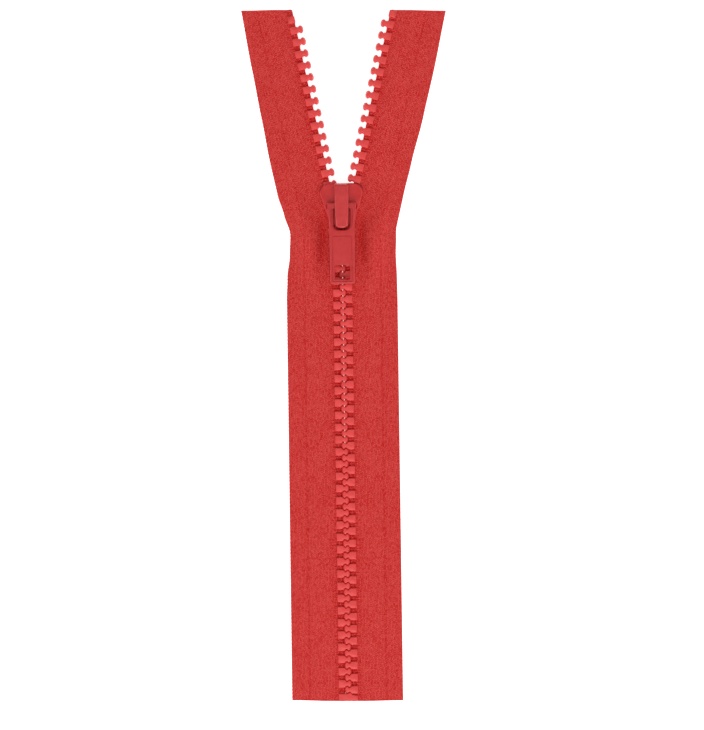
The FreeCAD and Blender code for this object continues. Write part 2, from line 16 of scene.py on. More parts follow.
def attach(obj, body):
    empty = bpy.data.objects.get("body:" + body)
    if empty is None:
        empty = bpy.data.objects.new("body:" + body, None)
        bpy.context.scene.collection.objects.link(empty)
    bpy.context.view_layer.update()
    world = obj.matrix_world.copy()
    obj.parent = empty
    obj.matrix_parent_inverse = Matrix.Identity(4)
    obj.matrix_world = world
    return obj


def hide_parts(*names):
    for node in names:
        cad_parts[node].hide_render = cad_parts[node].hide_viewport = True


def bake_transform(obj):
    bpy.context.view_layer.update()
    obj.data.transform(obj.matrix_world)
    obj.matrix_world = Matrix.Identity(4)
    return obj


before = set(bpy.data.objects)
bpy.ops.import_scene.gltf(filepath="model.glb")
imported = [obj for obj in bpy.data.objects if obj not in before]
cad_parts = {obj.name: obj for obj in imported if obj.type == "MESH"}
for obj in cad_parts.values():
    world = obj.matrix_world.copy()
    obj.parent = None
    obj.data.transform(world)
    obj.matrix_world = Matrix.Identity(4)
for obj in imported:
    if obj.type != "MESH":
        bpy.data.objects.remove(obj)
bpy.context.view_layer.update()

MM = 0.001
SIDES = ("left", "right")
OUTWARD = {"left": -1.0, "right": 1.0}

# Rows of teeth: each runs straight up the chain, round an arc in the slider and straight on along its open
# arm.
HALF_LENGTH = 100.2
FORK_PLACE = 38.2
FORK_RADIUS = 14.0
ARM_ANGLE = {"left": math.radians(11.47), "right": math.radians(12.76)}
PITCH = 3.538
OPEN_PITCH = 3.53
FIRST_TOOTH = {"left": -95.11, "right": -96.88}
CLOSED_TEETH = 38
FORK_TEETH = {"left": 3, "right": 4}
ARM_TEETH = 14
TEETH_IN_GROUP = 10
STOP_SETBACK = 0.35
CHAIN_HEIGHT = 2.3
TOOTH_LOW = 1.05
TOOTH_HIGH = 3.55

# Tape: a woven slab whose inner edge is a bead round a filler cord.
TAPE_THICK = 0.6
BEAD_OFFSET = 1.65
BEAD_RADIUS = 0.72
CORD_RADIUS = 0.35

# Slider, strap and pull tab.
SLIDER_TAIL = 36.8
SLIDER_FRONT = 49.9
SLIDER_TOP = 4.6
WING_THICK = 0.9
PIVOT_PLACE = 43.6
PIVOT_HEIGHT = 5.35
BAR_RADIUS = 0.65


def smooth_step(value):
    """0 below 0, 1 above 1 and an S-shaped rise between."""
    part = np.clip(value, 0.0, 1.0)
    return part * part * (3.0 - 2.0 * part)


def smooth_least(first, second, reach):
    """The smaller of two values, with a rounded meeting over the reach where they cross."""
    part = np.clip(0.5 + 0.5 * (second - first) / reach, 0.0, 1.0)
    return second + (first - second) * part - reach * part * (1.0 - part)


def hump(value, middle, width):
    """A bell curve of height 1 about the middle."""
    return np.exp(-(((value - middle) / width) ** 2))


def eased(start, end, count):
    """Values from start to end that lie closer together at both ends."""
    return start + (end - start) * 0.5 * (1.0 - np.cos(np.linspace(0.0, math.pi, count)))


# ---------------------------------------------------------------- surfaces


def skin(rings, caps=(True, True)):
    """Quads between successive closed rings of points, (rings, points, 3), and a face over each end."""
    rows, count = rings.shape[:2]
    index = np.arange(rows * count).reshape(rows, count)
    after = np.roll(index, -1, axis=1)
    quads = np.stack([index[:-1], after[:-1], after[1:], index[1:]], axis=-1).reshape(-1, 4)
    faces = quads.tolist()
    if caps[0]:
        faces.append(index[0, ::-1].tolist())
    if caps[1]:
        faces.append(index[-1].tolist())
    return rings.reshape(-1, 3), faces


def joined(shells):
    """Several shells, each (points, faces), as one list of points and one of faces."""
    points = np.concatenate([shell[0] for shell in shells])
    faces = []
    first = 0
    for shell_points, shell_faces in shells:
        faces += [[first + corner for corner in face] for face in shell_faces]
        first += len(shell_points)
    return points, faces


def rounded(corners, radii, steps=3):
    """An outline whose every corner is an arc of its radius, tangent to the corner's two sides."""
    here = np.asarray(corners, float)
    radius = np.broadcast_to(np.asarray(radii, float), len(here))[:, None]
    back = np.roll(here, 1, axis=0) - here
    on = np.roll(here, -1, axis=0) - here
    back /= np.linalg.norm(back, axis=1, keepdims=True)
    on /= np.linalg.norm(on, axis=1, keepdims=True)
    opening = np.arccos(np.clip((back * on).sum(1, keepdims=True), -1.0, 1.0))
    reach = radius / np.tan(opening / 2)
    middle = (back + on) / np.linalg.norm(back + on, axis=1, keepdims=True) * radius / np.sin(opening / 2)
    turn = (math.pi - opening)[:, None]
    share = np.linspace(0.0, 1.0, steps + 1)[None, :, None]
    start = (back * reach - middle)[:, None]
    end = (on * reach - middle)[:, None]
    arc = (start * np.sin((1.0 - share) * turn) + end * np.sin(share * turn)) / np.sin(turn)
    return (here[:, None] + middle[:, None] + arc).reshape(-1, 2)


def drawn_in(outline, inset):
    """The outline moved to its left by the inset, each point along the middle of its two sides' normals."""
    before = outline - np.roll(outline, 1, axis=0)
    after = np.roll(outline, -1, axis=0) - outline
    before /= np.linalg.norm(before, axis=1, keepdims=True)
    after /= np.linalg.norm(after, axis=1, keepdims=True)
    lean = before + after
    normal = np.stack([-lean[:, 1], lean[:, 0]], axis=1)
    normal /= np.linalg.norm(normal, axis=1, keepdims=True)
    straight = np.stack([-after[:, 1], after[:, 0]], axis=1)
    return outline + normal * inset / np.maximum((normal * straight).sum(1, keepdims=True), 0.4)


# Share of a plate's height at which its wall swells most.
SWELL_PLACE = 0.68


def plate(outlines, low, high, rounds, low_round=0.1, steps=3, swell=None):
    """A flat plate with rounded rims: each outline, the outer one anticlockwise and the holes clockwise, is
    carried up the wall and drawn in along a quarter circle at the top and at the bottom, and two caps close
    the plate. Swell, a length for each point, pushes the wall out below the top, as the draft of a moulding
    does."""
    shells = []
    lids = {"low": [], "high": []}
    angle = np.linspace(0.0, math.pi / 2, steps + 1)
    first = 0
    for outline, top_round in zip(outlines, rounds):
        insets = np.concatenate([low_round * (1.0 - np.sin(angle)), top_round * (1.0 - np.cos(angle))])
        heights = np.concatenate([
            low + low_round * (1.0 - np.cos(angle)),
            high - top_round * (1.0 - np.sin(angle)),
        ])
        if swell is not None:
            insets = np.insert(insets, steps + 1, 0.0)
            heights = np.insert(heights, steps + 1, low + SWELL_PLACE * (high - low))
        rings = np.stack([
            np.column_stack([drawn_in(outline, inset), np.full(len(outline), height)])
            for inset, height in zip(insets, heights)
        ])
        if swell is not None:
            rings[steps + 1, :, :2] = drawn_in(outline, -swell[:, None])
        shells.append(skin(rings, caps=(False, False)))
        count = len(outline)
        lids["low"].append((rings[0], first))
        lids["high"].append((rings[-1], first + (len(rings) - 1) * count))
        first += rings.shape[0] * count
    points, faces = joined(shells)
    for lid in lids.values():
        numbers = np.concatenate([start + np.arange(len(ring)) for ring, start in lid])
        if len(lid) == 1:
            faces.append(numbers.tolist())
            continue
        triangles = tessellate_polygon([[Vector(point) for point in ring] for ring, start in lid])
        faces += [numbers[list(triangle)].tolist() for triangle in triangles]
    return points, faces


def piece(name, shell, material, body=None, stands_for=(), weave=None, edge_angle=40.0):
    """A mesh object from a shell in millimetres, with outward faces, its finish, the body it rides on and
    the CAD nodes it stands for. weave gives each point its place on the cloth, across and along, in
    millimetres."""
    points, faces = shell
    mesh = bpy.data.meshes.new(name)
    mesh.from_pydata((points * MM).tolist(), [], faces)
    if weave is not None:
        layer = mesh.uv_layers.new(name="Cloth")
        corners = np.empty(len(mesh.loops), np.int32)
        mesh.loops.foreach_get("vertex_index", corners)
        layer.data.foreach_set("uv", (weave[corners] * 0.1).astype(np.float32).ravel())
    work = bmesh.new()
    work.from_mesh(mesh)
    bmesh.ops.recalc_face_normals(work, faces=work.faces[:])
    sharp = math.radians(edge_angle)
    for face in work.faces:
        face.smooth = True
    for edge in work.edges:
        edge.smooth = not edge.is_manifold or edge.calc_face_angle(0.0) < sharp
    work.to_mesh(mesh)
    work.free()
    mesh.materials.append(material)
    item = bpy.data.objects.new(name, mesh)
    bpy.context.scene.collection.objects.link(item)
    if body:
        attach(item, body)
    if stands_for:
        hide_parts(*stands_for)
    return item


# ---------------------------------------------------------------- finishes


def feed(tree, value, socket):
    """Set a socket to a number, vector or colour, or link it to another node's output."""
    if isinstance(value, bpy.types.NodeSocket):
        tree.links.new(value, socket)
    else:
        socket.default_value = value


def calc(tree, operation, *values):
    """A Math node's result."""
    node = tree.nodes.new("ShaderNodeMath")
    node.operation = operation
    for value, socket in zip(values, node.inputs):
        feed(tree, value, socket)
    return node.outputs[0]


def noise(tree, place, scale, detail=2.0, roughness=0.5):
    """A Noise Texture's value at a place."""
    node = tree.nodes.new("ShaderNodeTexNoise")
    feed(tree, place, node.inputs["Vector"])
    feed(tree, scale, node.inputs["Scale"])
    node.inputs["Detail"].default_value = detail
    node.inputs["Roughness"].default_value = roughness
    return node.outputs[0]


def blend_colours(tree, share, first, second):
    """A colour between two, by share."""
    node = tree.nodes.new("ShaderNodeMix")
    node.data_type = "RGBA"
    feed(tree, share, node.inputs[0])
    feed(tree, first, node.inputs[6])
    feed(tree, second, node.inputs[7])
    return node.outputs[2]


def between(tree, value, low, high, to_low=0.0, to_high=1.0):
    """A value carried from one range to another and kept inside it."""
    node = tree.nodes.new("ShaderNodeMapRange")
    for socket, number in zip(node.inputs, (value, low, high, to_low, to_high)):
        feed(tree, number, socket)
    return node.outputs[0]


def effect(name, inputs, outputs):
    """A shader node group with named inputs, each (name, kind, value), and outputs, each (name, kind)."""
    tree = bpy.data.node_groups.new(name, "ShaderNodeTree")
    for label, kind, value in inputs:
        socket = tree.interface.new_socket(label, in_out="INPUT", socket_type=kind)
        if value is not None:
            socket.default_value = value
    for label, kind in outputs:
        tree.interface.new_socket(label, in_out="OUTPUT", socket_type=kind)
    return tree, tree.nodes.new("NodeGroupInput").outputs, tree.nodes.new("NodeGroupOutput").inputs


def placed(tree, group, **values):
    """The group as a node in a material, with its inputs set; an underscore stands for a space."""
    node = tree.nodes.new("ShaderNodeGroup")
    node.node_tree = group
    for label, value in values.items():
        feed(tree, value, node.inputs[label.replace("_", " ")])
    return node.outputs


def twill_effect():
    """Twill cloth: warp yarns lie along the tape and each float passes over two picks, so the floats step
    up from yarn to yarn; the step turns round from band to band. Each float is a rounded ridge with its own
    shade, darkened towards its edges as painted shade between the yarns, and slow blotches vary the dye."""
    tree, given, put = effect(
        "twill weave",
        [
            ("Place", "NodeSocketVector", None),
            ("Yarn", "NodeSocketFloat", 0.5),
            ("Pick", "NodeSocketFloat", 0.5),
            ("Band", "NodeSocketFloat", 4.0),
        ],
        [("Tone", "NodeSocketFloat"), ("Height", "NodeSocketFloat")],
    )
    parts = tree.nodes.new("ShaderNodeSeparateXYZ")
    tree.links.new(given["Place"], parts.inputs[0])
    wander = calc(tree, "MULTIPLY_ADD", noise(tree, given["Place"], 0.9), 0.5, -0.25)
    across = calc(tree, "DIVIDE", calc(tree, "ADD", parts.outputs[0], wander), given["Yarn"])
    along = calc(tree, "DIVIDE", calc(tree, "ADD", parts.outputs[1], wander), given["Pick"])
    band = calc(tree, "DIVIDE", calc(tree, "PINGPONG", parts.outputs[0], given["Band"]), given["Yarn"])
    step = calc(tree, "MULTIPLY", calc(tree, "ADD", calc(tree, "FLOOR", band), along), 0.5)
    cell = tree.nodes.new("ShaderNodeCombineXYZ")
    tree.links.new(calc(tree, "FLOOR", across), cell.inputs[0])
    tree.links.new(calc(tree, "FLOOR", step), cell.inputs[1])
    shade = tree.nodes.new("ShaderNodeTexWhiteNoise")
    tree.links.new(cell.outputs[0], shade.inputs["Vector"])
    bow = calc(tree, "SINE", calc(tree, "MULTIPLY", calc(tree, "FRACT", across), math.pi))
    reach = calc(tree, "SINE", calc(tree, "MULTIPLY", calc(tree, "FRACT", step), math.pi))
    ridge = calc(tree, "MULTIPLY", calc(tree, "POWER", bow, 0.6), calc(tree, "POWER", reach, 0.5))
    fuzz = noise(tree, given["Place"], 2.9, 1.0, 0.5)
    blotch = noise(tree, given["Place"], 0.16, 2.0)
    own = calc(tree, "MULTIPLY_ADD", shade.outputs["Value"], 0.75, -0.05)
    speck = between(tree, fuzz, 0.36, 0.66, 0.0, 1.25)
    # Painted shade: the tone falls to its darkest at each float's edges, where the yarns meet.
    tone = calc(tree, "MULTIPLY", ridge, calc(tree, "ADD", own, speck))
    tone = calc(tree, "ADD", tone, calc(tree, "MULTIPLY_ADD", blotch, 0.3, -0.13))
    tree.links.new(tone, put["Tone"])
    tree.links.new(calc(tree, "ADD", ridge, calc(tree, "MULTIPLY", fuzz, 0.3)), put["Height"])
    return tree


def grain_effect():
    """Fine grain of a moulded or sprayed surface: close noise for the relief, slow noise for the tone."""
    tree, given, put = effect(
        "surface grain",
        [("Place", "NodeSocketVector", None), ("Size", "NodeSocketFloat", 1.0)],
        [("Tone", "NodeSocketFloat"), ("Height", "NodeSocketFloat")],
    )
    fine = noise(tree, given["Place"], calc(tree, "DIVIDE", 4.0, given["Size"]), 3.0, 0.6)
    slow = noise(tree, given["Place"], calc(tree, "DIVIDE", 0.45, given["Size"]), 2.0)
    tone = calc(tree, "ADD", calc(tree, "MULTIPLY", fine, 0.35), calc(tree, "MULTIPLY", slow, 0.65))
    tree.links.new(tone, put["Tone"])
    tree.links.new(fine, put["Height"])
    return tree


def new_finish(name, roughness, **shader_values):
    """A material with a Principled BSDF whose uniform values are set on its own sockets."""
    material = bpy.data.materials.new(name)
    material.use_nodes = True
    tree = material.node_tree
    shader = tree.nodes["Principled BSDF"]
    shader.inputs["Roughness"].default_value = roughness
    for label, value in shader_values.items():
        shader.inputs[label.replace("_", " ")].default_value = value
    return material, tree, shader


def relief(tree, shader, height, distance, strength=1.0):
    """Bump the shader's normal by a height."""
    node = tree.nodes.new("ShaderNodeBump")
    node.inputs["Strength"].default_value = strength
    node.inputs["Distance"].default_value = distance * MM
    tree.links.new(height, node.inputs["Height"])
    tree.links.new(node.outputs[0], shader.inputs["Normal"])


def object_place(tree):
    """Object coordinates in millimetres."""
    source = tree.nodes.new("ShaderNodeTexCoord")
    scale = tree.nodes.new("ShaderNodeMapping")
    scale.inputs["Scale"].default_value = (1.0 / MM,) * 3
    tree.links.new(source.outputs["Object"], scale.inputs["Vector"])
    return scale.outputs[0]


def cloth_place(tree):
    """Place on the cloth in millimetres, across and along, from the piece's own map."""
    source = tree.nodes.new("ShaderNodeUVMap")
    source.uv_map = "Cloth"
    scale = tree.nodes.new("ShaderNodeMapping")
    scale.inputs["Scale"].default_value = (10.0, 10.0, 10.0)
    tree.links.new(source.outputs[0], scale.inputs["Vector"])
    return scale.outputs[0]


# Marks on the cloth, by their place across it: the stitched line, the ribs over the bead, and how dark they
# are; the troughs between the ribs and the cloth's creases and grooves get painted shade.
LINE_PLACE = 11.1
LINE_CORE = 0.1
LINE_EDGE = 0.45
LINE_SHADE = 0.18
RIB_PITCH = 0.62
RIBS_WHOLE = 2.3
RIBS_GONE = 3.1
PAINTED_RIB_SHADE = 0.3
PAINTED_FOLD_SHADE = 0.3


def tape_finish(group):
    """Dyed twill with a stitched line lengthwise and close ribs over the bead; painted shade darkens the
    troughs between the ribs and the creases and grooves of the cloth.
    """
    material, tree, shader = new_finish(
        "woven_tape", 0.9, Sheen_Weight=0.12, Sheen_Roughness=0.5, Specular_IOR_Level=0.2,
    )
    shader.inputs["Sheen Tint"].default_value = (1.0, 0.45, 0.42, 1.0)
    place = cloth_place(tree)
    weave = placed(tree, group, Place=place, Yarn=0.42, Pick=0.32, Band=3.4)
    parts = tree.nodes.new("ShaderNodeSeparateXYZ")
    tree.links.new(place, parts.inputs[0])
    across, along = parts.outputs[0], parts.outputs[1]
    off_line = calc(tree, "ABSOLUTE", calc(tree, "SUBTRACT", across, LINE_PLACE))
    line = between(tree, off_line, LINE_CORE, LINE_EDGE, LINE_SHADE, 0.0)
    # Painted shade: the cloth is darkened in the crease beside the pull tab and in the grooves beside each
    # gap between two teeth, read from the mesh's attribute.
    fold_shade_share = tree.nodes.new("ShaderNodeAttribute")
    fold_shade_share.attribute_name = "fold_shade_share"
    # Painted shade in the troughs between the close ribs over the bead; the bump lowers the same troughs.
    rib = calc(tree, "ABSOLUTE", calc(tree, "SINE", calc(tree, "MULTIPLY", along, math.pi / RIB_PITCH)))
    on_bead = between(tree, across, RIBS_WHOLE, RIBS_GONE, 1.0, 0.0)
    ribs = calc(tree, "MULTIPLY", on_bead, calc(tree, "SUBTRACT", 1.0, rib))
    painted_fold_darkening = calc(tree, "MULTIPLY", fold_shade_share.outputs["Fac"], PAINTED_FOLD_SHADE)
    shade = calc(tree, "ADD", calc(tree, "MULTIPLY", ribs, PAINTED_RIB_SHADE), painted_fold_darkening)
    # The weave's tone carries its painted shade between the yarns.
    tone = calc(tree, "SUBTRACT", calc(tree, "SUBTRACT", weave["Tone"], line), shade)
    colour = blend_colours(tree, tone, (0.51, 0.001, 0.001, 1.0), (0.73, 0.080, 0.072, 1.0))
    tree.links.new(colour, shader.inputs["Base Color"])
    height = calc(tree, "SUBTRACT", weave["Height"], calc(tree, "MULTIPLY", shade, 1.2))
    relief(tree, shader, height, 0.075)
    return material


def cord_finish(group):
    """Twisted dyed yarn."""
    material, tree, shader = new_finish("filler_cord", 0.85, Sheen_Weight=0.2)
    weave = placed(tree, group, Place=object_place(tree), Yarn=0.25, Pick=0.3, Band=9.0)
    # The weave's tone carries its painted shade between the plies.
    colour = blend_colours(tree, weave["Tone"], (0.30, 0.012, 0.012, 1.0), (0.62, 0.05, 0.046, 1.0))
    tree.links.new(colour, shader.inputs["Base Color"])
    relief(tree, shader, weave["Height"], 0.05)
    return material


def grained_finish(name, group, dark, light, roughness, size, depth, **shader_values):
    """A moulded or enamelled surface whose tone and gloss vary with its grain."""
    material, tree, shader = new_finish(name, roughness, **shader_values)
    grain = placed(tree, group, Place=object_place(tree), Size=size)
    colour = blend_colours(tree, between(tree, grain["Tone"], 0.3, 0.7), dark + (1.0,), light + (1.0,))
    tree.links.new(colour, shader.inputs["Base Color"])
    gloss = between(tree, grain["Tone"], 0.3, 0.7, roughness - 0.05, roughness + 0.06)
    tree.links.new(gloss, shader.inputs["Roughness"])
    relief(tree, shader, grain["Height"], depth)
    return material


def steel_finish(group):
    """Brushed bare spring steel."""
    material, tree, shader = new_finish("spring_steel", 0.32, Metallic=1.0)
    stretch = tree.nodes.new("ShaderNodeMapping")
    stretch.inputs["Scale"].default_value = (6.0, 0.4, 1.0)
    tree.links.new(object_place(tree), stretch.inputs["Vector"])
    grain = placed(tree, group, Place=stretch.outputs[0], Size=1.0)
    colour = blend_colours(tree, grain["Tone"], (0.30, 0.29, 0.28, 1.0), (0.48, 0.47, 0.45, 1.0))
    tree.links.new(colour, shader.inputs["Base Color"])
    tree.links.new(between(tree, grain["Tone"], 0.3, 0.7, 0.34, 0.50), shader.inputs["Roughness"])
    relief(tree, shader, grain["Height"], 0.01)
    return material


twill = twill_effect()
grain = grain_effect()
woven_tape = tape_finish(twill)
filler_cord = cord_finish(twill)
moulded_teeth = grained_finish(
    "moulded_teeth", grain, (0.69, 0.046, 0.044), (0.81, 0.071, 0.068), 0.40, 0.7, 0.008,
    Specular_IOR_Level=0.35,
)
slider_enamel = grained_finish(
    "slider_enamel", grain, (0.56, 0.017, 0.018), (0.64, 0.029, 0.030), 0.34, 0.8, 0.012,
    Specular_IOR_Level=0.4,
)
cap_enamel = grained_finish(
    "cap_enamel", grain, (0.53, 0.025, 0.026), (0.61, 0.039, 0.040), 0.32, 0.8, 0.010,
    Specular_IOR_Level=0.4,
)
tab_enamel = grained_finish(
    "tab_enamel", grain, (0.52, 0.019, 0.021), (0.59, 0.031, 0.033), 0.34, 0.8, 0.010,
    Specular_IOR_Level=0.4,
)
spring_steel = steel_finish(grain)


# ---------------------------------------------------------------- rows, tapes and cords


def row_line(side, travel):
    """Middle line of a row at a distance along it: straight up Y to the arc, round the arc, then straight
    out. Gives X, Y and the angle turned through, outwards."""
    turn = ARM_ANGLE[side]
    before = FORK_PLACE - FORK_RADIUS * math.tan(turn / 2)
    angle = np.clip(travel - before, 0.0, FORK_RADIUS * turn) / FORK_RADIUS
    out = np.maximum(travel - before - FORK_RADIUS * turn, 0.0)
    x = FORK_RADIUS * (1.0 - np.cos(angle)) + out * np.sin(angle)
    y = np.minimum(travel, before) + FORK_RADIUS * np.sin(angle) + out * np.cos(angle)
    return OUTWARD[side] * x, y, angle


def row_length(side):
    """Distance along a row where it reaches the cut end of the tapes."""
    turn = ARM_ANGLE[side]
    straight = FORK_PLACE - FORK_RADIUS * math.tan(turn / 2)
    reached = straight + FORK_RADIUS * math.sin(turn)
    return straight + FORK_RADIUS * turn + (HALF_LENGTH - reached) / math.cos(turn)


# Width of each tape from the middle of its row to its outer edge, at distances along the row.
TAPE_EDGE = {
    "left": (
        (-101, 16.35), (16, 16.3), (23, 16.05), (30, 15.3), (36, 15.1), (43, 15.9), (50, 16.5), (60, 16.6),
        (72, 16.3), (85, 16.0), (104, 15.5),
    ),
    "right": (
        (-101, 15.9), (16, 15.9), (23, 15.8), (30, 15.6), (36, 15.8), (43, 15.8), (50, 15.8), (60, 16.1),
        (72, 16.7), (85, 16.9), (104, 16.6),
    ),
}
SCALLOP = {"left": 0.10, "right": 0.04}
SCALLOP_PITCH = 1.05

# The cut ends' slant, and the distance from the middle of the zipper where it starts to grow.
CUT_SLANT = 0.014
CUT_FROM = 80.0

# The cloth's slope to the table: where it starts, and how far inside the outer edge it ends, less that start.
SLOPE_FROM = 5.0
SLOPE_MARGIN = 6.5
FLOOR_GAP = 0.02

# Mounds of the cloth: height, middle and reach along the row, middle and width across.
SLIDER_SWELL = (2.2, 35.0, 10.0, 10.2, 2.7)
ARM_WAVE = (0.35, 56.0, 10.0, 11.5, 2.6)

# Crease beside the pull tab: its depth, its middle and reach along the row, its place across at one point
# of the row, and how it leans and how wide it is.
CREASE_DEPTH = 1.3
CREASE_MIDDLE = 34.0
CREASE_REACH = 8.0
CREASE_TOP = 38.0
CREASE_ACROSS = 5.2
CREASE_LEAN = 0.06
CREASE_WIDTH = 1.25

# Folds of the cloth beside each gap between two teeth.
GAP_FOLD = 0.10
GAP_FOLD_WIDTH = 0.17
GAP_GROOVE = 0.42
GAP_FADE_FROM = 2.9
GAP_FADE_OVER = 1.5


def eased_table(table, value):
    """Values of a short table, joined by S-shaped rises."""
    places = np.array([row[0] for row in table], float)
    levels = np.array([row[1] for row in table], float)
    index = np.clip(np.searchsorted(places, value, side="right") - 1, 0, len(places) - 2)
    share = (value - places[index]) / (places[index + 1] - places[index])
    return levels[index] + (levels[index + 1] - levels[index]) * smooth_step(share)


def crease_share(along, across):
    """Share of the crease that runs down the cloth from the slider's mouth, beside the pull tab."""
    middle = CREASE_ACROSS + (CREASE_TOP - along) * CREASE_LEAN
    return hump(along, CREASE_MIDDLE, CREASE_REACH) * hump(across, middle, CREASE_WIDTH)


def mound(along, across, height, place, reach, middle, width):
    """A rise of the cloth about one place on it."""
    return height * hump(along, place, reach) * hump(across, middle, width)


def with_cut_slant(x, y):
    """Y with the cloth's two cut ends a little out of square: the slant grows over the last stretch of each
    end."""
    return y - CUT_SLANT * x * np.clip((np.abs(y) - CUT_FROM) / (HALF_LENGTH - CUT_FROM), 0.0, 1.0)


def tape_height(side, along, across, width):
    """Height of the middle of the cloth: level at the chain, sloping down to the table at the outer edge,
    with a swell and a crease beside the slider, where the turn of the arm crowds the cloth, and a wave on
    the open arm."""
    slope = 1.0 - smooth_step((across - SLOPE_FROM) / (width - SLOPE_MARGIN))
    rest = TAPE_THICK / 2 + FLOOR_GAP
    swell = mound(along, across, *SLIDER_SWELL)
    crease = CREASE_DEPTH * crease_share(along, across)
    wave = mound(along, across, *ARM_WAVE)
    return rest + (CHAIN_HEIGHT - rest) * slope + swell - crease + wave


def gap_folds(side, along, across):
    """How far the cloth is pulled down and up beside each gap between two teeth: a ridge on the middle of
    the gap with a groove on each side of it, fading away from the row."""
    pitch = np.where(along < FIRST_TOOTH[side] + (CLOSED_TEETH - 1) * PITCH, PITCH, OPEN_PITCH)
    base = np.where(pitch == PITCH, FIRST_TOOTH[side], FIRST_TOOTH[side] + (CLOSED_TEETH - 1) * PITCH)
    off = ((along - base) / pitch % 1.0 - 0.5) * pitch
    fade = 1.0 - smooth_step((across - GAP_FADE_FROM) / GAP_FADE_OVER)
    ridge = hump(off, 0.0, GAP_FOLD_WIDTH) * fade
    groove = (hump(off, GAP_GROOVE, GAP_FOLD_WIDTH) + hump(off, -GAP_GROOVE, GAP_FOLD_WIDTH)) * fade
    return ridge, groove


def tape_shell(side):
    """A closed strip of cloth carried along the row. Across it, the section runs from the outer edge over
    the top face, round the bead and back under the lower face. The lines across the cloth stay square to
    the closed chain and to the open arm and fan slowly from one to the other; the last stretch is sheared
    to a level cut end."""
    end = row_length(side)
    along = np.linspace(-HALF_LENGTH, end, 1121)[:, None]
    meeting = math.asin(TAPE_THICK / 2 / BEAD_RADIUS)
    start = BEAD_OFFSET + BEAD_RADIUS * math.cos(meeting)
    share = np.concatenate([np.linspace(0.0, 0.9, 19), [0.93, 0.96, 0.98]])
    width = eased_table(TAPE_EDGE[side], along)
    width = width + SCALLOP[side] * (np.abs(np.sin(along * math.pi / SCALLOP_PITCH)) - 0.6)
    top_across = start + (width - start) * share[None, ::-1]
    around = np.linspace(meeting, 2 * math.pi - meeting, 13)[None, 1:-1]
    low_across = top_across[:, ::-1]
    thin = TAPE_THICK / 2 * (1.0 - 0.55 * smooth_step((share[None, ::-1] - 0.9) / 0.1))
    top = tape_height(side, along, top_across, width)
    low = tape_height(side, along, low_across, width)
    across = np.concatenate([
        width, top_across, BEAD_OFFSET + BEAD_RADIUS * np.cos(around) + 0 * along, low_across,
    ], axis=1)
    height = np.concatenate([
        tape_height(side, along, width, width),
        top + thin,
        CHAIN_HEIGHT + BEAD_RADIUS * np.sin(around) + 0 * along,
        low - thin[:, ::-1],
    ], axis=1)
    turn = ARM_ANGLE[side]
    shear_from = FORK_PLACE + 20.0
    travel = along + across * math.tan(turn) * np.clip((along - shear_from) / (end - shear_from), 0.0, 1.0)
    x, y, angle = row_line(side, travel)
    fan = turn * smooth_step((travel - FORK_PLACE + 24.0) / 48.0)
    lean = np.where(across < 3.0, angle, angle + (fan - angle) * smooth_step((across - 3.0) / 8.0))
    x = x + OUTWARD[side] * across * np.cos(lean)
    y = y - across * np.sin(lean)
    ridge, groove = gap_folds(side, along, across)
    rings = np.stack([x, with_cut_slant(x, y), height + GAP_FOLD * ridge - GAP_FOLD * groove], axis=-1)
    weave = np.stack([across + 0 * along, travel], axis=-1)
    # Painted shade for the finish: how much to darken the cloth in the grooves beside the tooth gaps and in
    # the crease beside the tab.
    fold_shade_share = groove + crease_share(along, across)
    return skin(rings), weave.reshape(-1, 2), fold_shade_share.ravel()


def cord_shell(side):
    """A twisted cord carried along the bead: three plies make its radius swell three times round the
    circle, and the swellings turn as they go along."""
    turn = ARM_ANGLE[side]
    end = row_length(side) + BEAD_OFFSET * math.tan(turn)
    along = np.linspace(-HALF_LENGTH - 0.1, end + 0.1, 421)[:, None]
    around = np.linspace(0.0, 2 * math.pi, 13)[None, :-1]
    radius = CORD_RADIUS * (0.94 + 0.06 * np.cos(3 * around - along * 2.1))
    x, y, angle = row_line(side, along)
    across = BEAD_OFFSET + radius * np.cos(around)
    x = x + OUTWARD[side] * across * np.cos(angle)
    y = y - across * np.sin(angle)
    return skin(np.stack([x, with_cut_slant(x, y), CHAIN_HEIGHT + radius * np.sin(around) + 0 * x], axis=-1))


for side in SIDES:
    shell, weave, fold_shade_share = tape_shell(side)
    tape = piece(f"{side}_woven_tape", shell, woven_tape, weave=weave, edge_angle=60.0)
    # The cloth's painted shade for its creases and grooves, kept on its points.
    layer = tape.data.attributes.new("fold_shade_share", "FLOAT", "POINT")
    layer.data.foreach_set("value", fold_shade_share.astype(np.float32))
    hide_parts(f"{side}_tape_lower", f"{side}_tape_upper")
    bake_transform(tape)
    cord = piece(f"{side}_filler_cord", cord_shell(side), filler_cord, edge_angle=60.0)
    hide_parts(f"{side}_edge_core_lower", f"{side}_edge_core_upper")
    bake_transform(cord)


# ---------------------------------------------------------------- teeth and stops

# Half of a tooth's outline, from the back of its block to the tip of its head, and the corner radii.
TOOTH_HALF = ((2.78, 1.08, 0.2), (1.0, 1.08, 0.28), (0.48, 0.5, 0.15), (0.2, 0.5, 0.12), (-0.3, 0.93, 0.22),
              (-0.66, 0.66, 0.2))
TOOTH_TIP = (-0.82, 0.0, 1.0)


def tooth_outline(half):
    """The whole outline, anticlockwise: the half, the tip and the half's mirror image."""
    far = [(x, -y, radius) for x, y, radius in half[::-1]]
    corners = np.array(list(half) + [TOOTH_TIP] + far)
    return rounded(corners[:, :2], corners[:, 2], steps=2)


